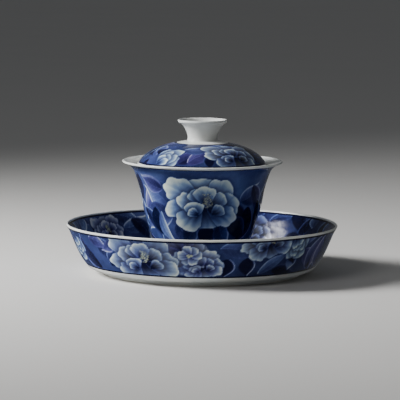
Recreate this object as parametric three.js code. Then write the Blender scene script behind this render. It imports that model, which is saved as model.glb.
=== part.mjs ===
// A gaiwan: a lidded porcelain tea bowl that stands loose in a deep saucer.
// Millimetres, +Z up. The origin is the centre of the saucer's foot ring, on the
// surface that the gaiwan stands on. Every piece is a solid of revolution about Z.
import * as THREE from 'three';

// ---- driving dimensions ----

const SEGMENTS = 60;              // facets round each piece, a multiple of 4
const CLEARANCE = 0.3;            // gap kept where one piece rests on, or is luted to, the next

const SAUCER_RIM_RADIUS = 88.2;
const SAUCER_RIM_HEIGHT = 32.3;
const SAUCER_WALL = 3.2;          // thickness of the saucer's flared wall
const SAUCER_UNDERSIDE = 3.0;     // height of the saucer's flat underside
const SAUCER_FLOOR = 7.5;         // height of the flat floor that the bowl stands on
const SAUCER_FOOT_OUTER = 64.9;
const SAUCER_FOOT_INNER = 60.5;

const BOWL_BASE = SAUCER_FLOOR + CLEARANCE;   // height of the bowl's foot
const BOWL_UNDERSIDE = 12.5;
const BOWL_INNER_FLOOR = 15.5;
const BOWL_RIM_RADIUS = 52.0;
const BOWL_RIM_HEIGHT = 73.3;
const BOWL_WALL = 2.4;
const BOWL_FOOT_OUTER = 23.5;
const BOWL_FOOT_INNER = 20.3;

const LID_RIM_RADIUS = 42.0;
const LID_RIM_HEIGHT = 69.9;      // underside of the lid's rim, on the bowl's flare
const LID_WALL = 3.0;
const LID_CROWN = 86.8;           // top of the dome, on the axis

const KNOB_TOP = 99.9;
const KNOB_LIP_RADIUS = 16.2;
const KNOB_NECK_RADIUS = 9.6;
const KNOB_WALL = 1.9;

// ---- materials ----

const paintedGlaze = () => new THREE.MeshStandardMaterial({
  name: 'painted_glaze', color: 0x4a6196, roughness: 0.15, metalness: 0,
});
const whiteGlaze = () => new THREE.MeshStandardMaterial({
  name: 'white_glaze', color: 0xe4e7ea, roughness: 0.15, metalness: 0,
});
const bareClay = () => new THREE.MeshStandardMaterial({
  name: 'bare_clay', color: 0xd9d6cf, roughness: 0.6, metalness: 0,
});

// ---- helpers ----

// Revolves a closed outline of [radius, height] points about Z. The outline runs
// up the outside and back down the inside, so that the faces point out.
function turned(name, material, outline) {
  const points = outline.map(([radius, height]) => new THREE.Vector2(radius, height));
  const onAxis = outline[0][0] === 0 && outline[outline.length - 1][0] === 0;
  if (!onAxis) points.push(points[0].clone());
  const geometry = new THREE.LatheGeometry(points, SEGMENTS);
  geometry.rotateX(Math.PI / 2);
  const mesh = new THREE.Mesh(geometry, material);
  mesh.name = name;
  return mesh;
}

// A plain ring of rectangular section, with a small chamfer round its lower edges.
function footRing(name, { outer, inner, bottom, top, chamfer }) {
  return turned(name, bareClay(), [
    [inner + chamfer, bottom],
    [outer - chamfer, bottom],
    [outer, bottom + chamfer],
    [outer, top],
    [inner, top],
    [inner, bottom + chamfer],
  ]);
}

// Height of the lid's outer surface over a radius inside its flat-sloped middle.
function domeHeight(radius) {
  const DOME_FALL = 0.0063;       // fall per square millimetre of radius
  return LID_CROWN - DOME_FALL * radius * radius;
}

// ---- saucer ----

// A deep dish: a flat floor, a rounded corner and a wall that flares to the rim.
function saucerDish() {
  return turned('saucer_dish', paintedGlaze(), [
    [0, SAUCER_UNDERSIDE],
    [71.0, SAUCER_UNDERSIDE],
    [74.9, 5.4],
    [77.9, 10.1],
    [80.5, 14.7],
    [83.7, 21.9],
    [86.5, 28.4],
    [SAUCER_RIM_RADIUS, SAUCER_RIM_HEIGHT - 0.8],
    [SAUCER_RIM_RADIUS - 0.8, SAUCER_RIM_HEIGHT],
    [SAUCER_RIM_RADIUS - 1.8, SAUCER_RIM_HEIGHT - 0.5],
    [86.5 - SAUCER_WALL + 0.6, 28.4],
    [83.7 - SAUCER_WALL, 21.9],
    [80.5 - SAUCER_WALL, 14.7],
    [78.0 - SAUCER_WALL, 10.6],
    [70.5, SAUCER_FLOOR + 0.4],
    [66.0, SAUCER_FLOOR],
    [0, SAUCER_FLOOR],
  ]);
}

function saucerFootRing() {
  return footRing('saucer_foot_ring', {
    outer: SAUCER_FOOT_OUTER, inner: SAUCER_FOOT_INNER,
    bottom: 0, top: SAUCER_UNDERSIDE - CLEARANCE, chamfer: 0.5,
  });
}

// ---- bowl ----

// A deep cup that flares at the lip. The flare's inner face is the lid's seat.
function bowlBody() {
  return turned('bowl_body', paintedGlaze(), [
    [0, BOWL_UNDERSIDE],
    [24.3, BOWL_UNDERSIDE],
    [27.2, 15.0],
    [29.9, 18.5],
    [32.3, 23.5],
    [35.4, 32.8],
    [38.9, 45.7],
    [40.6, 54.8],
    [43.0, 62.6],
    [45.6, 69.1],
    [48.6, 71.2],
    [BOWL_RIM_RADIUS, BOWL_RIM_HEIGHT - 0.9],
    [BOWL_RIM_RADIUS - 0.5, BOWL_RIM_HEIGHT],
    [BOWL_RIM_RADIUS - 1.5, BOWL_RIM_HEIGHT - 0.2],
    [44.6, 71.6],
    [42.1, 70.2],
    [40.6, 68.0],
    [39.9, 64.5],
    [40.6 - BOWL_WALL, 54.8],
    [38.9 - BOWL_WALL, 45.7],
    [35.4 - BOWL_WALL, 32.8],
    [29.9, 24.0],
    [26.5, 18.8],
    [22.0, BOWL_INNER_FLOOR],
    [0, BOWL_INNER_FLOOR],
  ]);
}

function bowlFootRing() {
  return footRing('bowl_foot_ring', {
    outer: BOWL_FOOT_OUTER, inner: BOWL_FOOT_INNER,
    bottom: BOWL_BASE, top: BOWL_UNDERSIDE - CLEARANCE, chamfer: 0.6,
  });
}

// ---- lid ----

// A shallow dome whose rim rests inside the bowl's flare.
function lidDome() {
  return turned('lid_dome', paintedGlaze(), [
    [LID_RIM_RADIUS - 0.9, LID_RIM_HEIGHT],
    [LID_RIM_RADIUS, LID_RIM_HEIGHT + 0.7],
    [LID_RIM_RADIUS - 0.3, LID_RIM_HEIGHT + 1.9],
    [40.3, 73.7],
    [36.6, 77.4],
    [32.9, 79.8],
    [25.6, 82.8],
    [18.6, domeHeight(18.6)],
    [9.0, domeHeight(9.0)],
    [0, domeHeight(0)],
    [0, domeHeight(0) - LID_WALL],
    [17.6, domeHeight(18.6) - LID_WALL],
    [24.4, 82.8 - LID_WALL],
    [31.2, 79.8 - LID_WALL],
    [35.8, 74.0],
    [39.2, LID_RIM_HEIGHT + 0.4],
  ]);
}

// A hollow trumpet, like a small foot ring turned up, that stands on the dome.
function lidKnob() {
  const seat = (radius) => domeHeight(radius) + CLEARANCE;
  const innerFoot = KNOB_NECK_RADIUS - KNOB_WALL;
  return turned('lid_knob', whiteGlaze(), [
    [innerFoot, seat(innerFoot)],
    [KNOB_NECK_RADIUS, seat(KNOB_NECK_RADIUS)],
    [9.8, 90.0],
    [10.7, 92.3],
    [12.1, 95.0],
    [14.5, 97.6],
    [KNOB_LIP_RADIUS, KNOB_TOP - 0.8],
    [KNOB_LIP_RADIUS - 0.4, KNOB_TOP],
    [KNOB_LIP_RADIUS - 1.2, KNOB_TOP],
    [14.5 - KNOB_WALL, 97.9],
    [12.1 - KNOB_WALL, 95.4],
    [10.7 - KNOB_WALL, 92.3],
    [9.8 - KNOB_WALL, 90.0],
  ]);
}

// ---- assembly ----

const saucer = new THREE.Group();
saucer.name = 'saucer';
saucer.add(saucerDish(), saucerFootRing());

const lid = new THREE.Group();
lid.name = 'lid';
lid.add(lidDome(), lidKnob());

const bowl = new THREE.Group();
bowl.name = 'bowl';
bowl.add(bowlBody(), bowlFootRing(), lid);

const gaiwan = new THREE.Group();
gaiwan.name = 'gaiwan';
gaiwan.add(saucer, bowl);

export default gaiwan;
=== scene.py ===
"""A gaiwan in underglaze-painted porcelain: white peonies and dark leaves on cobalt.

Each piece is turned from a fine outline round Z and painted by code: brush strokes laid
on the piece's own grid become fields (ink, violet, warm) that the glaze material reads.
Sizes in this file are millimetres until a mesh, light or camera is made.
"""
import math

import bpy
import numpy as np
from mathutils import Matrix, Vector

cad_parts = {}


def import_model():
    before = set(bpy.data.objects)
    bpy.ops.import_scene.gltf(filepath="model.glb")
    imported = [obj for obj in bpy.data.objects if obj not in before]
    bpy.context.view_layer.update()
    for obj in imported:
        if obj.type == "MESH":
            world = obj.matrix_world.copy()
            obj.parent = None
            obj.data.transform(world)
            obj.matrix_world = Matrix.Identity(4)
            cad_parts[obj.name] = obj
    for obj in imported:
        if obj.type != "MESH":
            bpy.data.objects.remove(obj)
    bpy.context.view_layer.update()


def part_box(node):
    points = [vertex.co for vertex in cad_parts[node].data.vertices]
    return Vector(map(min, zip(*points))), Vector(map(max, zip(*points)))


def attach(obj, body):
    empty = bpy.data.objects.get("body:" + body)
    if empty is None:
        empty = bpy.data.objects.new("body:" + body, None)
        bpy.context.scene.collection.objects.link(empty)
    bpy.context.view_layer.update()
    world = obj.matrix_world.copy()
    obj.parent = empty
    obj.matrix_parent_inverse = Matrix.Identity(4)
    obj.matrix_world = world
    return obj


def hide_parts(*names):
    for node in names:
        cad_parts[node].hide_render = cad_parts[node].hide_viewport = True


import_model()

MM = 0.001
TURN = 2 * math.pi


# ---- outlines, from the CAD nodes' own boxes ----

def node_size(node):
    """A CAD node's rim radius, lowest and highest height, in mm."""
    low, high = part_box(node)
    return high[0] / MM, low[2] / MM, high[2] / MM


DISH_RIM, DISH_UNDERSIDE, DISH_TOP = node_size("saucer_dish")
BOWL_RIM, BOWL_UNDERSIDE, BOWL_TOP = node_size("bowl_body")
LID_RIM, LID_BOTTOM, LID_CROWN = node_size("lid_dome")
KNOB_LIP, KNOB_BOTTOM, KNOB_TOP = node_size("lid_knob")
DISH_FOOT, _, _ = node_size("saucer_foot_ring")
BOWL_FOOT, BOWL_BASE, _ = node_size("bowl_foot_ring")
CLEARANCE = 0.3                   # gap that the CAD keeps where one piece rests on another
DISH_FLOOR = BOWL_BASE - CLEARANCE
BOWL_TREAD = BOWL_BASE - 0.25     # the fine foot all but touches the saucer's floor
DISH_FOOT_INNER = 60.5            # inner radius of the saucer's foot ring
BOWL_FOOT_INNER = 20.3

LIP_STEP = 0.3                    # spacing of the points round a lip
FINE_STEP = 0.62                  # on the painted walls
PLAIN_STEP = 2.5                  # on plain or hidden surfaces


# The first and last knot of each painted band, as places in the outlines below.
DISH_OUTSIDE_KNOTS = (4, 9)
DISH_INSIDE_KNOTS = (13, 21)
BOWL_WALL_KNOTS = (2, 11)
LID_TOP_KNOTS = (3, 8)


def dish_outline():
    """Knots (radius, height, step to the next): under the floor, up outside, down inside."""
    return [
        (0.0, DISH_UNDERSIDE, 16.0),
        (66.0, DISH_UNDERSIDE, PLAIN_STEP),
        (71.3, DISH_UNDERSIDE + 0.4, 0.8),
        (74.0, DISH_UNDERSIDE + 1.9, 0.8),
        (75.5, DISH_UNDERSIDE + 3.7, FINE_STEP),
        (77.9, 10.1, FINE_STEP),
        (80.5, 14.7, FINE_STEP),
        (83.7, 21.9, FINE_STEP),
        (86.5, 28.4, FINE_STEP),
        (DISH_RIM - 0.25, DISH_TOP - 1.4, LIP_STEP),
        (DISH_RIM, DISH_TOP - 0.6, LIP_STEP),
        (DISH_RIM - 0.6, DISH_TOP, LIP_STEP),
        (DISH_RIM - 1.3, DISH_TOP - 0.3, LIP_STEP),
        (DISH_RIM - 1.65, DISH_TOP - 0.95, 0.75),
        (84.0, 28.2, 0.75),
        (80.5, 21.9, 0.75),
        (77.3, 14.7, 0.75),
        (75.1, 10.9, 0.75),
        (72.6, DISH_FLOOR + 1.2, 0.75),
        (69.0, DISH_FLOOR + 0.15, 0.95),
        (64.0, DISH_FLOOR, 1.05),
        (42.0, DISH_FLOOR, 6.0),
        (24.0, DISH_FLOOR, 12.0),
        (0.0, DISH_FLOOR, 1.0),
    ]


def bowl_outline():
    """Under the floor, up the outside, over the flared lip and down inside."""
    return [
        (0.0, BOWL_UNDERSIDE, 8.0),
        (20.0, BOWL_UNDERSIDE, PLAIN_STEP),
        (24.3, BOWL_UNDERSIDE + 0.2, FINE_STEP),
        (27.2, 15.0, FINE_STEP),
        (29.9, 18.5, FINE_STEP),
        (32.3, 23.5, FINE_STEP),
        (35.4, 32.8, FINE_STEP),
        (38.9, 45.7, FINE_STEP),
        (40.6, 54.8, FINE_STEP),
        (42.9, 62.6, FINE_STEP),
        (45.7, 68.6, FINE_STEP),
        (49.6, 71.4, FINE_STEP),
        (BOWL_RIM - 0.45, BOWL_TOP - 1.3, LIP_STEP),
        (BOWL_RIM, BOWL_TOP - 0.65, LIP_STEP),
        (BOWL_RIM - 0.7, BOWL_TOP, LIP_STEP),
        (BOWL_RIM - 1.9, BOWL_TOP - 0.25, 0.8),
        (47.4, 72.25, 0.8),
        (44.4, 71.35, 0.8),
        (42.2, 70.0, 0.8),
        (40.7, 67.6, 1.2),
        (39.7, 63.0, PLAIN_STEP),
        (38.2, 54.8, PLAIN_STEP),
        (36.5, 45.7, PLAIN_STEP),
        (33.0, 32.8, PLAIN_STEP),
        (29.7, 23.8, PLAIN_STEP),
        (26.2, 18.6, PLAIN_STEP),
        (21.0, 15.7, PLAIN_STEP),
        (14.0, 15.4, 5.0),
        (0.0, 15.4, 1.0),
    ]


def lid_outline():
    """Up outside from the rim to the crown, then down inside to the rim."""
    return [
        (LID_RIM - 1.1, LID_BOTTOM, LIP_STEP),
        (LID_RIM - 0.3, LID_BOTTOM + 0.25, LIP_STEP),
        (LID_RIM, LID_BOTTOM + 0.9, LIP_STEP),
        (LID_RIM - 0.6, LID_BOTTOM + 1.9, FINE_STEP * 0.9),
        (40.2, 73.7, FINE_STEP * 0.9),
        (36.6, 77.3, FINE_STEP * 0.9),
        (32.6, 79.9, FINE_STEP * 0.9),
        (25.6, 82.9, FINE_STEP * 0.9),
        (16.8, LID_CROWN - 1.8, 0.8),
        (9.0, LID_CROWN - 0.5, PLAIN_STEP),
        (0.0, LID_CROWN, 3.0),
        (0.0, LID_CROWN - 3.0, 4.0),
        (17.6, LID_CROWN - 5.2, PLAIN_STEP),
        (24.4, 79.8, PLAIN_STEP),
        (31.2, 76.8, PLAIN_STEP),
        (36.8, 73.2, 1.0),
        (39.3, LID_BOTTOM + 0.9, LIP_STEP),
        (39.9, LID_BOTTOM + 0.1, LIP_STEP),
    ]


def knob_outline():
    """Up the outside of the trumpet, over its lip and down into the hollow."""
    sunk = KNOB_BOTTOM - 0.9
    return [
        (6.8, sunk, PLAIN_STEP),
        (10.2, sunk, 0.4),
        (9.9, KNOB_BOTTOM + 0.1, 0.4),
        (9.65, KNOB_BOTTOM + 1.2, 0.6),
        (9.85, KNOB_BOTTOM + 3.4, 0.6),
        (10.7, 92.3, 0.6),
        (12.2, 95.0, 0.6),
        (14.3, 97.2, 0.4),
        (KNOB_LIP - 0.25, KNOB_TOP - 1.6, LIP_STEP),
        (KNOB_LIP, KNOB_TOP - 0.8, LIP_STEP),
        (KNOB_LIP - 0.75, KNOB_TOP, LIP_STEP),
        (KNOB_LIP - 1.8, KNOB_TOP - 0.45, 0.5),
        (12.6, 97.6, 0.6),
        (10.2, 95.0, 0.6),
        (8.6, 92.0, 0.8),
        (7.4, KNOB_BOTTOM + 0.9, 0.8),
    ]


def foot_outline(outer, inner, bottom, top, flare):
    """A ring with a rounded tread. Its outer top flares out to meet the wall above."""
    tread = 0.55                  # radius of the rounding at the tread
    inset = 0.16                  # how far the rounding's middle lies inside the square corner
    return [
        (inner + tread, bottom, LIP_STEP),
        (inner + 2 * tread, bottom, 1.0),
        (outer - 2 * tread, bottom, LIP_STEP),
        (outer - tread, bottom, LIP_STEP),
        (outer - inset, bottom + inset, LIP_STEP),
        (outer, bottom + tread, 0.6),
        (outer, top - flare, 0.4),
        (outer + 0.3 * flare, top - 0.3 * flare, 0.4),
        (outer + flare, top + 0.25, 1.0),
        (inner - flare, top + 0.25, 0.4),
        (inner - 0.3 * flare, top - 0.3 * flare, 0.4),
        (inner, top - flare, 0.6),
        (inner, bottom + tread, LIP_STEP),
        (inner + inset, bottom + inset, LIP_STEP),
    ]


def sample(knots, closed):
    """Points of a smooth curve through the knots, and the index of each knot's point."""
    places = np.array([knot[:2] for knot in knots], float)
    if closed:
        ends = np.vstack([places[-1], places, places[:2]])
    else:
        ends = np.vstack([2 * places[0] - places[1], places, 2 * places[-1] - places[-2]])
    points, starts = [], []
    for i in range(len(ends) - 3):
        a, b, c, d = ends[i:i + 4]
        starts.append(len(points))
        count = max(1, round(float(np.linalg.norm(c - b)) / knots[i][2]))
        before, after = span_tangents(a, b, c, d)
        for t in np.arange(count) / count:
            points.append(hermite(b, c, before, after, t))
    if not closed:
        starts.append(len(points))
        points.append(places[-1])
    return np.array(points), starts


def span_tangents(a, b, c, d):
    """Tangents at b and c, for knots that are unevenly spaced, scaled to the span b to c."""
    first, span, last = (max(float(np.linalg.norm(v)), 1e-6) for v in (b - a, c - b, d - c))
    start = ((b - a) / first * span + (c - b) / span * first) / (first + span) * span
    stop = ((c - b) / span * last + (d - c) / last * span) / (last + span) * span
    return start, stop


def hermite(b, c, start, stop, t):
    """The point at t, from 0 to 1, of the curve from b to c with these end tangents."""
    return (
        (2 * t**3 - 3 * t**2 + 1) * b + (t**3 - 2 * t**2 + t) * start
        + (3 * t**2 - 2 * t**3) * c + (t**3 - t**2) * stop
    )


# ---- turning: a mesh from an outline ----

def turn_angles(columns):
    """Azimuths round a piece: 0 is the front, -Y, and the right, +X, is positive."""
    return np.arange(columns) * TURN / columns - math.pi


def turned(name, points, columns, closed):
    """A closed mesh from an outline turned about Z. An end on the axis becomes one point."""
    angles = turn_angles(columns)
    rings = points if closed else points[1:-1]
    radius, height = rings[:, :1], rings[:, 1:]
    grid = np.stack([radius * np.sin(angles), -radius * np.cos(angles),
                     np.broadcast_to(height, (len(rings), columns))], axis=-1)
    vertices = grid.reshape(-1, 3)
    row = np.arange(len(rings) if closed else len(rings) - 1)[:, None]
    above = (row + 1) % len(rings)
    column = np.arange(columns)[None, :]
    beside = (column + 1) % columns
    faces = np.stack([row * columns + column, row * columns + beside,
                      above * columns + beside, above * columns + column],
                     axis=-1).reshape(-1, 4).tolist()
    if not closed:
        ends = [[0, 0, points[0][1]], [0, 0, points[-1][1]]]
        vertices = np.vstack([vertices, ends])
        first, last = len(vertices) - 2, len(vertices) - 1
        top = (len(rings) - 1) * columns
        for c in range(columns):
            d = (c + 1) % columns
            faces.append([first, d, c])
            faces.append([last, top + c, top + d])
    mesh = bpy.data.meshes.new(name)
    mesh.from_pydata((vertices * MM).tolist(), [], faces)
    mesh.polygons.foreach_set("use_smooth", [True] * len(mesh.polygons))
    piece = bpy.data.objects.new(name, mesh)
    bpy.context.scene.collection.objects.link(piece)
    return piece


def give_field(piece, name, values, kind, closed):
    """Stores a value for each point. A row on the axis is one point, after all the others."""
    layer = piece.data.attributes.new(name, kind, "POINT")
    width = 4 if kind == "FLOAT_COLOR" else 1
    grid = np.asarray(values, np.float32).reshape(len(values), -1, width)
    flat = grid.reshape(-1, width)
    if not closed:
        flat = np.vstack([grid[1:-1].reshape(-1, width), grid[0, :1], grid[-1, :1]])
    layer.data.foreach_set("color" if width == 4 else "value", flat.ravel())


# ---- painting: brush strokes on a piece's grid ----

EDGE_SOFT = 0.55                  # mm over which a stroke's edge fades
SHADE_REACH = 1.6                 # mm that a petal's shade spreads over what is behind it
GROUND = 0.66                     # ink where nothing is painted, such as the well of the saucer


def smooth(value, low, high):
    """0 at low, 1 at high, eased between. low may be the greater."""
    t = np.clip((value - low) / (high - low), 0, 1)
    return t * t * (3 - 2 * t)


def clouds(angles, up, seed, rounds, waves):
    """Slow, uneven washes from -1 to 1 that close up round the piece."""
    rng = np.random.default_rng(seed)
    total = np.zeros((len(up), len(angles)))
    for _ in range(waves):
        turns = rng.integers(1, rounds)
        rise = rng.uniform(-0.16, 0.16)
        total += np.sin(turns * angles[None, :] + rise * up[:, None] + rng.uniform(0, TURN))
    return total / math.sqrt(waves)


class Painting:
    """Ink from 0, white, to 1, navy, with violet and warm tints, on one band of a piece."""

    def __init__(self, points, rows, columns, seed, ground, downward):
        """downward: the outline runs down here, so heights along it are counted from its end."""
        self.rows = slice(*rows)
        band = points[self.rows]
        along = np.concatenate([[0], np.cumsum(np.linalg.norm(np.diff(band, axis=0), axis=1))])
        self.reach = float(along[-1])
        self.up = self.reach - along if downward else along
        self.radius = band[:, 0]
        self.heights = band[:, 1]
        self.angles = turn_angles(columns)
        self.mirror = -1 if downward else 1
        shape = (len(band), columns)
        wash = clouds(self.angles, self.up, seed, 9, 7)
        patches = clouds(self.angles, self.up * 2.6, seed + 1, 23, 9)
        self.ink = ground + 0.04 * wash + 0.025 * patches
        self.violet = np.clip(0.12 + 0.12 * clouds(self.angles, self.up, seed + 2, 7, 5), 0, 1)
        self.warm = np.zeros(shape)

    def at(self, degrees, height):
        """A place by its azimuth and its height on the outline's slope."""
        order = np.argsort(self.heights)
        return degrees, float(np.interp(height, self.heights[order], self.up[order]))

    def patch(self, place, reach):
        """The cells within reach of a place, with flat coordinates in mm from it."""
        degrees, up = place
        turn = (self.angles - math.radians(degrees) + math.pi) % TURN - math.pi
        rows = np.flatnonzero(abs(self.up - up) < reach)
        if not len(rows):
            return None
        columns = np.flatnonzero(abs(turn) * self.radius[rows].min() < reach)
        x = self.mirror * turn[columns] * self.radius[rows][:, None]
        y = np.broadcast_to((self.up[rows] - up)[:, None], x.shape)
        return np.ix_(rows, columns), x, y

    def lay(self, cells, mask, ink, violet, warm):
        for field, value in ((self.ink, ink), (self.violet, violet), (self.warm, warm)):
            field[cells] += (value - field[cells]) * mask


def petal(paint, patch, root, aim, length, width, tones, rng, violet=0.05, warm=0.05, rim=0.12):
    """A fan-shaped petal: narrow at its root, lobed and folded at its tip, deeper inside."""
    cells, x, y = patch
    belly = 0.58                  # where it is widest, as a share of its length
    c, s = math.cos(aim), math.sin(aim)
    along = ((x - root[0]) * c + (y - root[1]) * s) / length
    across = ((y - root[1]) * c - (x - root[0]) * s) / (width / 2)
    narrow = np.clip(along / belly, 0.02, 1) ** 0.55
    cap = np.maximum(along - belly, 0) / (1 - belly)
    bearing = np.arctan2(across, cap + 0.3)
    phase = rng.uniform(0, TURN, 4)
    lobes = rng.uniform(2.3, 4.0)
    wave = np.cos(lobes * bearing + phase[0] + 0.5 * np.sin(2 * bearing + phase[3]))
    notch = 1 - np.sqrt(wave ** 2 + 0.02)
    ruffle = 0.17 * notch + 0.03 * np.sin(9 * bearing + phase[1]) - 0.05
    inside = (1 - np.hypot(cap, across / narrow) * (1 + ruffle)) * width / 2
    inside = np.where(along > 0, inside, -99.0)

    shade = np.exp(np.minimum(inside, 0) / SHADE_REACH) * (inside < 0)
    light_below = np.clip(0.86 - paint.ink[cells], 0, 1)
    paint.ink[cells] += 0.74 * shade * light_below

    growth = smooth(along, 0.1, 0.98)
    base, tip = tones
    hollow = smooth(inside, 0.0, 0.36 * width)
    streaks = np.sin(13 * across + 2.6 * np.sin(5 * along + phase[3]) + phase[0])
    fold = np.exp(-(wave / 0.24) ** 2) * smooth(along, 0.4, 0.95)
    lean = math.sin(phase[2]) * across + 0.5 * np.sin(2 * (lobes * bearing + phase[0]))
    tone = (base + (tip - base) * growth + 0.30 * hollow * (1 - 0.5 * growth)
            + 0.04 * streaks * (1 - 0.5 * growth) + 0.10 * fold + 0.08 * lean
            - rim * np.exp(-(inside / 0.9) ** 2) * growth)
    mask = np.clip(inside / EDGE_SOFT + 0.5, 0, 1)
    paint.lay(cells, mask, np.clip(tone, 0, 1), violet * (1 - 0.6 * growth), warm * growth)


def leaf(paint, place, aim, length, width, tone, bend=0.12, edge=0.35, violet=0.2, veins=0.1):
    """A pointed leaf with a pale midrib, side veins and one pale edge."""
    patch = paint.patch(place, length * 1.15)
    if patch is None:
        return
    cells, x, y = patch
    c, s = math.cos(math.radians(aim)), math.sin(math.radians(aim))
    along = (x * c + y * s) / length
    run = np.clip(along, 0, 1)
    across = y * c - x * s - bend * length * 4 * run * (1 - run)
    half = width / 2 * np.sin(math.pi * run ** 0.75) ** (0.75 + 0.8 * run)
    inside = np.where((along > 0) & (along < 1), half - abs(across), -99.0)
    mask = np.clip(inside / EDGE_SOFT + 0.5, 0, 1)
    side = np.where(across > 0, 1.0, 0.0)
    rib = np.exp(-(across / 0.35) ** 2) * (1 - run)
    vein = np.exp(-(np.sin((along * length - 0.9 * abs(across)) * math.pi / 4.2) / 0.2) ** 2)
    pale = np.exp(-(np.maximum(inside - 0.3, 0) / 0.6) ** 2) * (0.25 + 0.75 * side)
    fade = smooth(abs(across), 0.0, half + 0.01)
    value = (tone + 0.08 - 0.07 * side - 0.16 * fade * side + 0.16 * smooth(along, 0.9, 0.0)
             - 0.6 * veins * vein - 1.3 * veins * rib - edge * pale)
    paint.lay(cells, mask, np.clip(value, 0, 1), violet, 0.0)


def dots(paint, patch, centre, spread, count, size, rng, ink, warm, rise=0.75):
    """Stamens: small round touches scattered about a point, rise times as far up as across."""
    cells, x, y = patch
    for _ in range(count):
        dx, dy = np.clip(rng.normal(0, 1, 2), -1.6, 1.6) * spread
        distance = np.hypot(x - centre[0] - dx, y - centre[1] - rise * dy)
        mask = np.clip((size - distance) / EDGE_SOFT + 0.5, 0, 1)
        paint.lay(cells, mask, ink, 0.0, warm)


# Petals of a full peony, back ones first: root x and y, aim in degrees, length and width,
# all as shares of the flower's half-width, then how deep the tone is at root and tip.
PEONY_BACK = [
    (0.05, 0.04, 98, 0.68, 0.86, 0.44, 0.16),
    (-0.05, -0.02, 141, 0.94, 0.68, 0.46, 0.06),
    (0.18, -0.02, 53, 0.78, 0.68, 0.48, 0.12),
    (-0.10, -0.08, 190, 0.78, 0.50, 0.62, 0.06),
    (0.18, -0.12, 5, 0.74, 0.68, 0.66, 0.10),
    (0.07, -0.14, -78, 0.58, 0.66, 0.66, 0.20),
    (0.14, -0.14, -30, 0.76, 0.60, 0.68, 0.06),
    (-0.04, -0.14, 230, 0.70, 0.66, 0.60, 0.05),
]
PEONY_HEART = [
    (-0.02, -0.05, 158, 0.58, 0.46, 0.66, 0.10),
    (0.20, -0.08, 42, 0.46, 0.42, 0.60, 0.12),
    (0.00, -0.02, 124, 0.44, 0.40, 0.58, 0.16),
    (0.09, -0.06, 92, 0.52, 0.52, 0.54, 0.06),
]
PEONY_FRONT = [
    (0.24, -0.32, 38, 0.34, 0.34, 0.64, 0.22),
    (-0.12, -0.38, 104, 0.38, 0.48, 0.60, 0.04),
    (-0.06, -0.34, 152, 0.28, 0.28, 0.60, 0.12),
]


def peony(paint, place, size, seed, turn=0, depth=0.0, rim=0.12, violet=0.06, flip=False,
          stamens=True):
    """A full peony seen from a little above. depth deepens every tone, for a blue one."""
    squash = 0.87                 # its height as a share of what its width would give
    patch = paint.patch(place, size * 1.25)
    if patch is None:
        return
    patch = patch[0], patch[1], patch[2] / squash
    rng = np.random.default_rng(seed)
    tilt = math.radians(turn)
    hand = -1 if flip else 1

    def place_petal(design):
        x, y, aim, length, width, base, tip = design
        aim = math.radians(aim + rng.normal(0, 4))
        if flip:
            aim = math.pi - aim
        root = (size * (hand * x * math.cos(tilt) - y * math.sin(tilt)),
                size * (hand * x * math.sin(tilt) + y * math.cos(tilt)))
        grow = 1 + rng.normal(0, 0.04)
        tones = (min(base + 0.5 * depth, 0.9), tip + depth)
        petal(paint, patch, root, aim + tilt, size * length * grow, size * width, tones, rng,
              violet=violet, warm=rng.uniform(0.03, 0.14), rim=rim)

    for design in PEONY_BACK + PEONY_HEART:
        place_petal(design)
    if stamens:
        heart = (size * hand * 0.14, size * 0.05)
        dots(paint, patch, heart, size * 0.05, 12, size * 0.04, rng, 0.66, 0.12, rise=1.5)
        dots(paint, patch, heart, size * 0.07, 14, 0.24, rng, 0.90, 0.0, rise=1.6)
        dots(paint, patch, heart, size * 0.065, 34, 0.26, rng, 0.30, 0.75, rise=1.7)
    for design in PEONY_FRONT:
        place_petal(design)


def blossom(paint, place, size, seed, petals=6, violet=0.25, tones=(0.5, 0.12)):
    """A small open flower round a yellow centre."""
    patch = paint.patch(place, size * 1.3)
    if patch is None:
        return
    rng = np.random.default_rng(seed)
    for i in range(petals):
        aim = TURN * i / petals + rng.uniform(-0.2, 0.2) + seed
        length = size * rng.uniform(0.85, 1.05)
        petal(paint, patch, (0, 0), aim, length, size * 0.85, tones, rng, violet=violet, warm=0.1)
    dots(paint, patch, (0, 0), size * 0.11, 8, size * 0.05, rng, 0.72, 0.0)
    dots(paint, patch, (0, 0), size * 0.12, 20, 0.3, rng, 0.32, 0.75)


def bud(paint, place, size, aim, seed, warm=0.3):
    """A half-open flower: overlapping pale petals that all lean one way."""
    patch = paint.patch(place, size * 1.4)
    if patch is None:
        return
    rng = np.random.default_rng(seed)
    for lean, length, width in ((34, 0.86, 0.58), (-36, 0.90, 0.62), (2, 1.06, 0.72),
                                (-20, 0.82, 0.50), (18, 0.76, 0.46), (-4, 0.60, 0.50),
                                (30, 0.48, 0.36), (-26, 0.46, 0.36)):
        petal(paint, patch, (0, 0), math.radians(aim + lean), size * length, size * width,
              (0.56, 0.10), rng, violet=0.04, warm=warm)


def foliage(paint, count, seed, low, high, angles=(-180, 180), tones=(0.72, 1.0)):
    """Leaves scattered over a stretch of the band, some dark, some pale and violet."""
    rng = np.random.default_rng(seed)
    for _ in range(count):
        place = (rng.uniform(*angles), rng.uniform(low, high))
        pale = rng.random() < 0.3
        tone = rng.uniform(0.42, 0.56) if pale else rng.uniform(*tones)
        leaf(paint, place, rng.uniform(0, 360), rng.uniform(11, 22), rng.uniform(5, 11), tone,
             bend=rng.uniform(-0.18, 0.18), edge=rng.uniform(0.1, 0.45),
             violet=rng.uniform(0.0, 0.7), veins=rng.uniform(0.03, 0.12))


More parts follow.
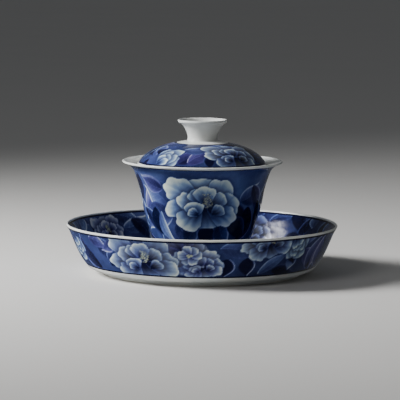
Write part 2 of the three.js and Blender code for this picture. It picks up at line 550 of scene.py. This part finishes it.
def paint_bowl(paint):
    paint.ink += 0.16 * smooth(paint.up, 32, 4)[:, None]    # the ground deepens to the foot
    foliage(paint, 34, 11, 4, paint.reach - 6, angles=(62, 298))
    # each leaf: azimuth, height, aim, length, width, tone, bend, pale edge, violet
    front_leaves = [
        (-88, 66.0, -80, 26, 15, 0.90, 0.06, 0.20, 0.30),
        (-72, 66.0, -84, 22, 13, 0.86, -0.08, 0.16, 0.30),
        (-30, 45.0, 150, 29, 20, 0.54, -0.12, 0.34, 0.25),
        (-30, 43.0, -150, 30, 19, 0.58, -0.12, 0.34, 0.35),
        (-38, 59.0, 158, 22, 11, 0.34, 0.06, 0.10, 0.55),
        (-38, 57.6, 158, 21, 10, 0.64, 0.06, 0.16, 0.60),
        (-78, 50.0, -74, 17, 7, 0.46, 0.10, 0.30, 0.25),
        (-70, 44.0, -60, 26, 11, 0.72, 0.14, 0.40, 0.20),
        (-50, 45.5, -80, 21, 11, 0.96, -0.10, 0.34, 0.10),
        (-43, 43.0, -66, 25, 7, 0.42, -0.18, 0.24, 0.20),
        (-26, 35.0, -70, 19, 12, 0.62, 0.10, 0.34, 0.30),
        (-11, 36.0, -112, 18, 10, 0.80, 0.12, 0.34, 0.20),
        (-3, 38.0, -84, 14, 6, 0.36, 0.05, 0.16, 0.35),
        (5, 35.0, -92, 16, 12, 0.99, 0.05, 0.50, 0.75),
        (18, 36.0, -64, 18, 11, 0.70, -0.10, 0.42, 0.30),
        (38, 50.0, 38, 21, 14, 0.60, -0.14, 0.34, 0.30),
        (52, 60.0, -70, 24, 11, 0.68, 0.12, 0.34, 0.60),
        (34, 48.0, -64, 30, 16, 0.95, -0.10, 0.20, 0.60),
        (50, 46.0, -104, 28, 14, 0.96, 0.12, 0.42, 0.80),
        (27, 38.0, -38, 19, 11, 0.92, 0.12, 0.16, 0.45),
        (64, 50.0, -86, 28, 10, 0.80, 0.10, 0.46, 0.40),
        (78, 40.0, 84, 24, 12, 0.66, 0.10, 0.36, 0.30),
    ]
    for azimuth, height, aim, length, width, tone, bend, edge, violet in front_leaves:
        leaf(paint, paint.at(azimuth, height), aim, length, width, tone,
             bend=bend, edge=edge, violet=violet)
    peony(paint, paint.at(-104, 51), 19, seed=31, turn=20, violet=0.35)
    peony(paint, paint.at(104, 47), 20, seed=33, turn=-14, depth=0.26, rim=0.24, violet=0.4)
    peony(paint, paint.at(180, 49), 27, seed=35, flip=True)
    blossom(paint, paint.at(-146, 33), 11, seed=36)
    blossom(paint, paint.at(140, 62), 9, seed=37)
    bud(paint, paint.at(92, 63), 12, 120, seed=38)
    peony(paint, paint.at(-0.5, 49.8), 28.2, seed=5, rim=0.2)


def paint_lid(paint):
    paint.ink += 0.09             # the lid's ground is deeper than the bowl's
    foliage(paint, 22, 41, 3, paint.reach - 3, angles=(55, 300))
    # each leaf: azimuth, height along the slope, aim, length, width, tone, bend, edge, violet
    front_leaves = [
        (-23, 3.0, 60, 19, 12, 0.72, -0.08, 0.34, 0.75),
        (-14, 3.5, 24, 23, 13, 0.54, 0.16, 0.36, 0.85),
        (-24, 17.0, 12, 22, 10, 0.50, -0.10, 0.34, 0.30),
        (6, 1.0, 84, 12, 7, 0.96, 0.04, 0.30, 0.30),
        (2, 21.0, -8, 20, 8, 0.46, 0.12, 0.34, 0.30),
        (-66, 12.0, 100, 12, 4, 0.48, 0.10, 0.24, 0.25),
        (60, 3.0, 60, 20, 10, 0.74, 0.10, 0.42, 0.40),
        (64, 18.0, -40, 20, 9, 0.84, 0.10, 0.34, 0.30),
    ]
    for azimuth, up, aim, length, width, tone, bend, edge, violet in front_leaves:
        leaf(paint, (azimuth, up), aim, length, width, tone, bend=bend, edge=edge, violet=violet)
    bud(paint, (-46, 2.0), 17, 52, seed=48, warm=0.1)
    peony(paint, (34, 11.0), 20.5, seed=44, turn=-8, depth=0.24, rim=0.34, violet=0.35,
          stamens=False)
    peony(paint, (172, 12.0), 18, seed=45, turn=12)
    blossom(paint, (-118, 11.0), 9, seed=46)
    bud(paint, (112, 4.0), 14, 110, seed=47)


def paint_dish_outside(paint):
    foliage(paint, 60, 51, 0, paint.reach, angles=(84, 276))
    # each leaf: azimuth, height, aim, length, width, tone, bend, pale edge, violet
    front_leaves = [
        (-70, 9.0, 128, 26, 9, 0.70, -0.10, 0.40, 0.40),
        (-60, 7.5, 100, 28, 10, 0.74, 0.08, 0.36, 0.50),
        (-55, 8.0, 122, 27, 12, 0.80, 0.10, 0.40, 0.35),
        (-50, 29.0, -66, 20, 14, 0.70, 0.10, 0.36, 0.30),
        (-56, 28.0, -20, 18, 10, 0.60, 0.10, 0.36, 0.60),
        (-46, 12.0, 40, 18, 11, 0.74, 0.10, 0.36, 0.25),
        (-40, 28.5, -150, 16, 8, 0.58, 0.10, 0.40, 0.60),
        (-9, 27.0, -100, 19, 11, 0.44, 0.06, 0.14, 0.60),
        (-13, 11.0, 30, 14, 8, 0.86, 0.10, 0.20, 0.50),
        (8, 26.5, -12, 30, 13, 0.56, 0.06, 0.20, 0.25),
        (11.5, 19.5, -97, 15, 11, 0.98, 0.02, 0.72, 0.45),
        (20.5, 20.0, -84, 15, 11, 0.97, -0.04, 0.78, 0.40),
        (27, 9.0, 34, 26, 8, 0.50, 0.06, 0.26, 0.25),
        (34, 11.0, -10, 20, 9, 0.90, 0.04, 0.16, 0.35),
        (44, 20.0, -92, 12, 9, 0.38, 0.02, 0.18, 0.25),
        (41, 25.0, -60, 15, 8, 0.97, 0.02, 0.12, 0.30),
        (46, 25.0, 18, 22, 9, 0.34, 0.12, 0.22, 0.40),
        (51, 23.0, -58, 20, 11, 0.50, 0.10, 0.32, 0.70),
        (58, 9.0, 76, 26, 12, 0.60, 0.12, 0.30, 0.60),
        (64, 28.0, -96, 24, 8, 0.42, -0.10, 0.20, 0.80),
        (68, 9.0, 100, 26, 11, 0.54, 0.14, 0.26, 0.70),
        (77, 30.0, -70, 24, 8, 0.48, 0.14, 0.24, 0.60),
    ]
    paint.ink += 0.08             # the saucer's ground is deeper than the bowl's
    for azimuth, height, aim, length, width, tone, bend, edge, violet in front_leaves:
        leaf(paint, paint.at(azimuth, height), aim, length, width, tone,
             bend=bend, edge=edge, violet=violet)
    blossom(paint, paint.at(-8.0, 23.0), 16, seed=62, petals=8, violet=0.8, tones=(0.60, 0.34))
    peony(paint, paint.at(-1.0, 15.5), 17, seed=61, turn=10, depth=0.06, violet=0.6, stamens=False)
    blossom(paint, paint.at(-5.0, 21.5), 8, seed=67, petals=6, violet=0.5, tones=(0.44, 0.14))
    bud(paint, paint.at(-72, 27.0), 17, -76, seed=66, warm=0.05)
    bud(paint, paint.at(43, 30.5), 16, -60, seed=65, warm=0.1)
    peony(paint, paint.at(28.5, 32.0), 21, seed=63, turn=6, depth=0.20, violet=0.35)
    peony(paint, paint.at(-28, 19.0), 27, seed=64, depth=0.18, rim=0.26, violet=0.35)
    # round the back, each flower: azimuth, height, half-width, depth
    flowers = ((96, 16, 18, 0.0), (128, 24, 22, 0.2), (158, 14, 20, 0.0), (190, 21, 24, 0.0),
               (222, 15, 18, 0.24), (252, 20, 22, 0.0))
    for i, (azimuth, height, size, depth) in enumerate(flowers):
        peony(paint, paint.at(azimuth, height), size, seed=70 + i, turn=12 * (-1) ** i,
              depth=depth, flip=i % 2 == 1)
        blossom(paint, paint.at(azimuth + 15, 28 - 0.8 * height), 10, seed=80 + i)


def paint_dish_inside(paint):
    """The well and wall: the same flowers, in a softer, greyer wash, made deeper in part as
    painted shade for the inside of the saucer.
    """
    foliage(paint, 64, 91, 0, paint.reach, tones=(0.6, 0.9))
    # each leaf: azimuth, height, aim, length, width, tone, bend, pale edge, violet
    back_leaves = [
        (-100, 24.0, 60, 17, 9, 0.50, 0.10, 0.40, 0.05),
        (-113, 30.0, -130, 16, 9, 0.44, -0.12, 0.36, 0.05),
        (-118, 29.0, -80, 17, 10, 0.86, 0.08, 0.24, 0.20),
        (-134, 31.0, -30, 27, 14, 0.66, 0.10, 0.46, 0.15),
        (-139, 21.0, 24, 24, 11, 0.50, -0.12, 0.40, 0.20),
        (-145, 27.0, -60, 22, 11, 0.84, 0.14, 0.30, 0.30),
        (-157, 30.0, -40, 20, 10, 0.60, 0.10, 0.40, 0.30),
        (150, 30.5, -160, 24, 9, 0.46, 0.06, 0.16, 0.05),
        (146, 26.0, 10, 22, 8, 0.56, 0.10, 0.30, 0.05),
        (134, 30.5, -40, 24, 11, 0.86, 0.14, 0.26, 0.10),
        (126, 20.0, 64, 20, 9, 0.82, -0.14, 0.34, 0.15),
        (134, 17.0, -20, 20, 11, 0.90, 0.10, 0.20, 0.10),
        (116, 25.0, 100, 14, 10, 0.42, 0.10, 0.30, 0.05),
        (109, 22.0, 70, 16, 9, 0.74, -0.10, 0.46, 0.00),
        (101, 22.0, 84, 15, 9, 0.58, 0.10, 0.50, 0.00),
    ]
    for azimuth, height, aim, length, width, tone, bend, edge, violet in back_leaves:
        leaf(paint, paint.at(azimuth, height), aim, length, width, tone,
             bend=bend, edge=edge, violet=violet, veins=0.16)
    wall = paint.reach - 16       # half way up the wall, along the slope
    # each flower: azimuth, height along the slope, half-width, depth, violet
    flowers = ((-168, wall, 22, 0.22, 0.35), (-127, wall + 4, 17, 0.08, 0.90),
               (-70, wall, 24, 0.20, 0.35), (-30, wall - 4, 22, 0.20, 0.35),
               (12, wall, 24, 0.10, 0.35), (52, wall - 4, 22, 0.20, 0.35),
               (84, wall - 2, 18, 0.26, 0.35), (158, wall, 22, 0.22, 0.35))
    for i, (azimuth, up, size, depth, violet) in enumerate(flowers):
        peony(paint, (azimuth, up), size, seed=100 + i, turn=17 * (i % 3 - 1), depth=depth,
              violet=violet, flip=i % 2 == 0)
    fade = smooth(paint.up, 0, 8)[:, None]    # to the plain ground of the middle
    # painted shade: deeper ink at the back right, where the inner wall faces the lamp from the
    # left, so that it reads less lit
    painted_shade_back_right = smooth(np.cos(paint.angles - math.radians(132)), 0.3, 0.95)    # painted shade at the back right
    paint.ink = GROUND + (paint.ink + 0.17 * painted_shade_back_right - 0.04 - GROUND) * fade
    paint.violet = (0.15 + 0.8 * paint.violet) * fade


# ---- materials ----

def linear(red, green, blue):
    """A colour given as 0 to 255 screen values, as the linear values that nodes take."""
    channels = []
    for value in (red, green, blue):
        v = value / 255
        channels.append(v / 12.92 if v <= 0.04045 else ((v + 0.055) / 1.055) ** 2.4)
    return (*channels, 1.0)


COBALT = [
    (0.00, (214, 223, 214)), (0.16, (178, 195, 200)), (0.36, (112, 138, 174)),
    (0.54, (72, 94, 142)), (0.68, (50, 64, 110)), (0.84, (27, 35, 72)), (1.00, (11, 15, 42)),
]
VIOLET = [
    (0.00, (216, 208, 218)), (0.16, (184, 174, 198)), (0.36, (128, 120, 162)),
    (0.54, (84, 78, 134)), (0.68, (56, 50, 104)), (0.84, (32, 28, 68)), (1.00, (14, 12, 38)),
]
PORCELAIN = linear(212, 213, 209)
PORCELAIN_SHADE = linear(199, 204, 204)
# painted shade: darker copies of the porcelain whites, for the knob alone, so that it reads less
# lit than the other white glaze
KNOB_WHITE_PAINTED_SHADE = linear(196, 197, 194)
KNOB_THICK_PAINTED_SHADE = linear(184, 188, 188)
SPECK = linear(150, 146, 140)
BORDER_INK = linear(9, 12, 42)
LINE_WIDTH = 1.3                  # of the dark line inside each border
GLAZE_IOR = 1.5
GLAZE_SPECULAR = 0.16             # kept low, so that the painting shows through the gloss
DISH_RELIEF = 0.22                # depth of the glaze's waviness on the wide saucer
FINE_RELIEF = 0.06                # and on the smaller pieces
POLLEN = linear(186, 190, 112)
BARE = linear(208, 204, 194)
BARE_SHADE = linear(184, 178, 166)


class Nodes:
    """A short way to add and join the nodes of one material."""

    def __init__(self, name):
        self.material = bpy.data.materials.new(name)
        self.material.use_nodes = True
        self.tree = self.material.node_tree
        self.shader = self.tree.nodes["Principled BSDF"]

    def add(self, kind, **settings):
        node = self.tree.nodes.new(kind)
        for key, value in settings.items():
            setattr(node, key, value)
        return node

    def join(self, output, socket):
        self.tree.links.new(output, socket)

    def math(self, operation, *values, clamp=False):
        node = self.add("ShaderNodeMath", operation=operation, use_clamp=clamp)
        for socket, value in zip(node.inputs, values):
            if isinstance(value, (int, float)):
                socket.default_value = value
            else:
                self.join(value, socket)
        return node.outputs[0]

    def mix(self, factor, first, second):
        node = self.add("ShaderNodeMix", data_type="RGBA")
        for socket, value in ((node.inputs[0], factor), (node.inputs[6], first),
                              (node.inputs[7], second)):
            if isinstance(value, (int, float, tuple)):
                socket.default_value = value
            else:
                self.join(value, socket)
        return node.outputs[2]

    def noise(self, scale, detail=3.0, roughness=0.5, distortion=0.0):
        place = self.add("ShaderNodeTexCoord").outputs["Object"]
        node = self.add("ShaderNodeTexNoise")
        node.inputs["Scale"].default_value = scale
        node.inputs["Detail"].default_value = detail
        node.inputs["Roughness"].default_value = roughness
        node.inputs["Distortion"].default_value = distortion
        self.join(place, node.inputs["Vector"])
        return node.outputs[0]

    def ramp(self, value, stops):
        node = self.add("ShaderNodeValToRGB")
        elements = node.color_ramp.elements
        while len(elements) < len(stops):
            elements.new(0.5)
        for element, (position, color) in zip(elements, stops):
            element.position = position
            element.color = linear(*color)
        self.join(value, node.inputs[0])
        return node.outputs[0]

    def between(self, value, low, high):
        """0 below low, 1 above high, smooth between."""
        node = self.add("ShaderNodeMapRange", interpolation_type="SMOOTHSTEP")
        self.join(value, node.inputs[0])
        for socket, number in zip(node.inputs[1:5], (low, high, 0.0, 1.0)):
            socket.default_value = number
        return node.outputs[0]

    def glaze_surface(self, rough_low, rough_high, relief):
        """Uneven gloss and the faint waviness of a fired glaze."""
        gloss = self.noise(260, detail=2)
        spread = self.add("ShaderNodeMapRange")
        self.join(gloss, spread.inputs[0])
        for socket, number in zip(spread.inputs[1:5], (0.3, 0.7, rough_low, rough_high)):
            socket.default_value = number
        self.join(spread.outputs[0], self.shader.inputs["Roughness"])
        waves = self.math("ADD", self.noise(70, detail=1),
                          self.math("MULTIPLY", self.noise(420, detail=2), 0.3))
        bump = self.add("ShaderNodeBump")
        bump.inputs["Strength"].default_value = 0.5
        bump.inputs["Distance"].default_value = relief * MM
        self.join(waves, bump.inputs["Height"])
        self.join(bump.outputs[0], self.shader.inputs["Normal"])


def porcelain_white(nodes, clear=PORCELAIN, thick=PORCELAIN_SHADE):
    """White body under clear glaze: faint grey-blue pooling and a few fine specks."""
    pooled = nodes.between(nodes.noise(48, detail=4), 0.35, 0.7)
    white = nodes.mix(pooled, clear, thick)
    specks = nodes.math("MULTIPLY", nodes.between(nodes.noise(1400, detail=1), 0.74, 0.80), 0.35)
    return nodes.mix(specks, white, SPECK)


def glazed(nodes):
    """Gives the shader its glaze and hands back the finished material."""
    nodes.shader.inputs["IOR"].default_value = GLAZE_IOR
    nodes.shader.inputs["Specular IOR Level"].default_value = GLAZE_SPECULAR
    return nodes.material


def painted_glaze(name, relief):
    """Reads the brushed fields, breaks them up like wet pigment, and adds the rim lines."""
    nodes = Nodes(name)
    brushed = nodes.add("ShaderNodeAttribute", attribute_name="brush")
    fields = nodes.add("ShaderNodeSeparateColor")
    nodes.join(brushed.outputs["Color"], fields.inputs[0])
    ink, violet, warm = fields.outputs[:3]
    border = nodes.add("ShaderNodeAttribute", attribute_name="border").outputs["Fac"]

    wash = nodes.math("SUBTRACT", nodes.noise(210, detail=5, roughness=0.6, distortion=0.6), 0.5)
    grain = nodes.math("SUBTRACT", nodes.noise(1700, detail=2), 0.5)
    uneven = nodes.math("ADD", nodes.math("MULTIPLY", wash, 0.16),
                        nodes.math("MULTIPLY", grain, 0.07))
    depth = nodes.math("ADD", ink, uneven, clamp=True)
    colour = nodes.mix(violet, nodes.ramp(depth, COBALT), nodes.ramp(depth, VIOLET))
    pollen = nodes.math("MULTIPLY", warm, nodes.math("ADD", grain, 1.0), clamp=True)
    colour = nodes.mix(pollen, colour, POLLEN)

    line = nodes.math("ABSOLUTE", nodes.math("SUBTRACT", border, LINE_WIDTH / 2))
    line = nodes.math("SUBTRACT", 1.0, nodes.between(line, 0.38 * LINE_WIDTH, 0.66 * LINE_WIDTH))
    colour = nodes.mix(line, colour, BORDER_INK)
    painted = nodes.between(border, -0.12, 0.12)
    colour = nodes.mix(painted, porcelain_white(nodes), colour)
    nodes.join(colour, nodes.shader.inputs["Base Color"])
    nodes.glaze_surface(0.07, 0.13, relief)
    return glazed(nodes)


def knob_glaze_painted_shade(name):
    """The white glaze with painted shade: a darker copy of the porcelain white, so that the small
    knob reads less lit.
    """
    nodes = Nodes(name)
    white = porcelain_white(nodes, KNOB_WHITE_PAINTED_SHADE, KNOB_THICK_PAINTED_SHADE)
    nodes.join(white, nodes.shader.inputs["Base Color"])
    nodes.glaze_surface(0.08, 0.16, FINE_RELIEF)
    return glazed(nodes)


def foot_clay(name, bare_height):
    """Glazed wall of a foot whose tread, below bare_height in mm, is left as bare clay."""
    nodes = Nodes(name)
    place = nodes.add("ShaderNodeTexCoord").outputs["Object"]
    split = nodes.add("ShaderNodeSeparateXYZ")
    nodes.join(place, split.inputs[0])
    wander = nodes.math("MULTIPLY", nodes.math("SUBTRACT", nodes.noise(120), 0.5), 0.6 * MM)
    height = nodes.math("ADD", split.outputs[2], wander)
    glazed_part = nodes.between(height, (bare_height - 0.1) * MM, (bare_height + 0.1) * MM)
    clay = nodes.mix(nodes.noise(900, detail=6), BARE, BARE_SHADE)
    colour = nodes.mix(glazed_part, clay, porcelain_white(nodes))
    nodes.join(colour, nodes.shader.inputs["Base Color"])
    rough = nodes.math("SUBTRACT", 0.62, nodes.math("MULTIPLY", glazed_part, 0.5))
    nodes.join(rough, nodes.shader.inputs["Roughness"])
    bump = nodes.add("ShaderNodeBump")
    bump.inputs["Strength"].default_value = 0.4
    bump.inputs["Distance"].default_value = 0.05 * MM
    nodes.join(nodes.noise(1600, detail=4), bump.inputs["Height"])
    nodes.join(bump.outputs[0], nodes.shader.inputs["Normal"])
    return nodes.material


# ---- pieces ----

BORDER_REACH = 6.0                # how far from a painted band's end the border field counts


def border_field(points, bands, columns):
    """Distance in mm into the nearest painted band, negative outside the bands."""
    steps = np.linalg.norm(np.diff(points, axis=0), axis=1)
    along = np.concatenate([[0], np.cumsum(steps)])
    depth = np.full(len(points), -BORDER_REACH)
    for first, last, open_end in bands:
        stop = math.inf if open_end else along[last]
        depth = np.maximum(depth, np.minimum(along - along[first], stop - along))
    depth = np.clip(depth, -BORDER_REACH, BORDER_REACH)
    return np.repeat(depth[:, None], columns, axis=1)


def painted_piece(name, outline, columns, closed, relief, bands):
    """bands: (first knot, last knot, painter, seed, ground, runs down, open at its end)."""
    points, knots = sample(outline, closed)
    piece = turned(name, points, columns, closed)
    brush = np.zeros((len(points), columns, 4))
    brush[..., 0], brush[..., 3] = GROUND, 1
    for first, last, painter, seed, ground, downward, _ in bands:
        paint = Painting(points, (knots[first], knots[last] + 1), columns, seed,
                         ground, downward)
        painter(paint)
        for channel, field in enumerate((paint.ink, paint.violet, paint.warm)):
            brush[paint.rows, :, channel] = np.clip(field, 0, 1)
    border = border_field(points, [(knots[b[0]], knots[b[1]], b[6]) for b in bands], columns)
    give_field(piece, "brush", brush, "FLOAT_COLOR", closed)
    give_field(piece, "border", border, "FLOAT", closed)
    piece.data.materials.append(painted_glaze(name + "_glaze", relief))
    return piece


def plain_piece(name, outline, columns, material):
    """A piece with a closed outline and no painting."""
    points, _ = sample(outline, closed=True)
    piece = turned(name, points, columns, closed=True)
    piece.data.materials.append(material)
    return piece


dish = painted_piece(
    "painted_saucer", dish_outline(), columns=760, closed=False, relief=DISH_RELIEF,
    bands=[(*DISH_OUTSIDE_KNOTS, paint_dish_outside, 3, 0.68, False, False),
           (*DISH_INSIDE_KNOTS, paint_dish_inside, 8, 0.70, True, True)])
bowl = painted_piece(
    "painted_bowl", bowl_outline(), columns=600, closed=False, relief=FINE_RELIEF,
    bands=[(*BOWL_WALL_KNOTS, paint_bowl, 1, 0.64, False, False)])
lid = painted_piece(
    "painted_lid", lid_outline(), columns=480, closed=True, relief=FINE_RELIEF,
    bands=[(*LID_TOP_KNOTS, paint_lid, 2, 0.68, False, False)])
knob = plain_piece(
    "trumpet_knob", knob_outline(), columns=160, material=knob_glaze_painted_shade("knob_glaze_painted_shade"))
dish_foot = plain_piece(
    "saucer_foot", foot_outline(DISH_FOOT, DISH_FOOT_INNER, 0.0, DISH_UNDERSIDE, flare=0.5),
    columns=320, material=foot_clay("saucer_foot_clay", 0.6))
bowl_foot = plain_piece(
    "bowl_foot", foot_outline(BOWL_FOOT, BOWL_FOOT_INNER, BOWL_TREAD, BOWL_UNDERSIDE, flare=0.7),
    columns=200, material=foot_clay("bowl_foot_clay", BOWL_BASE + 0.5))

for piece, body, node in ((dish, "saucer", "saucer_dish"),
                          (dish_foot, "saucer", "saucer_foot_ring"),
                          (bowl, "bowl", "bowl_body"), (bowl_foot, "bowl", "bowl_foot_ring"),
                          (lid, "lid", "lid_dome"), (knob, "lid", "lid_knob")):
    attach(piece, body)
    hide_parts(node)


# ---- stage, light and camera ----

def floor():
    """A wide sheet of pale paper."""
    mesh = bpy.data.meshes.new("studio_floor")
    reach = 40.0                  # metres from the middle to each edge
    corners = [(-reach, -reach, 0), (reach, -reach, 0), (reach, reach, 0), (-reach, reach, 0)]
    mesh.from_pydata(corners, [], [(0, 1, 2, 3)])
    ground = bpy.data.objects.new("studio_floor", mesh)
    bpy.context.scene.collection.objects.link(ground)
    nodes = Nodes("studio_floor_paper")
    paper = nodes.mix(nodes.noise(5.0), linear(208, 206, 203), linear(203, 202, 199))
    nodes.join(paper, nodes.shader.inputs["Base Color"])
    nodes.shader.inputs["Roughness"].default_value = 0.7
    mesh.materials.append(nodes.material)
    ground.visible_glossy = False    # the glaze mirrors dark surroundings, not pale paper


def softbox(name, place, aim, size, power, spread=180):
    """A square lamp turned to aim, in metres and watts. A spread under 180 narrows its beam."""
    lamp = bpy.data.lights.new(name, "AREA")
    lamp.shape = "SQUARE"
    lamp.size = size
    lamp.energy = power
    lamp.spread = math.radians(spread)
    light = bpy.data.objects.new(name, lamp)
    light.location = place
    light.rotation_euler = (Vector(aim) - Vector(place)).to_track_quat("-Z", "Y").to_euler()
    bpy.context.scene.collection.objects.link(light)
    return light


def world(strength, colour):
    """An even, dim light from all round."""
    sky = bpy.data.worlds.new("studio")
    sky.use_nodes = True
    background = sky.node_tree.nodes["Background"]
    background.inputs[0].default_value = (*colour, 1.0)
    background.inputs[1].default_value = strength
    bpy.context.scene.world = sky


def camera():
    """A long lens, a little above the rim, turned down to the middle of the piece."""
    data = bpy.data.cameras.new("view")
    data.lens = 218
    data.sensor_width = 36        # millimetres, as the lens is; places are in metres
    eye = bpy.data.objects.new("view", data)
    eye.location = (0.0, -1.566, 0.2215)
    aim = Vector((-0.0013, 0.0, 0.0473)) - eye.location
    look = aim.to_track_quat("-Z", "Y").to_matrix().to_4x4()
    roll = math.radians(0.5)
    eye.rotation_euler = (look @ Matrix.Rotation(roll, 4, "Z")).to_euler()
    bpy.context.scene.collection.objects.link(eye)
    bpy.context.scene.camera = eye


floor()
world(0.11, (0.93, 0.96, 1.0))
lit = (0, 0, 0.05)                # the middle of the gaiwan
key_place = (-0.98, -0.05, 0.62)
key = softbox("key", key_place, lit, 0.40, 6.0, spread=75)
key.visible_glossy = False        # the glaze mirrors the next lamp instead
mirrored = softbox("key_mirrored", key_place, lit, 0.34, 11.0, spread=75)
mirrored.visible_diffuse = False
softbox("front_fill", (-1.0, -1.5, 1.0), lit, 0.8, 7)
camera()
scene = bpy.context.scene
scene.view_settings.view_transform = "AgX"
scene.view_settings.look = "AgX - Base Contrast"
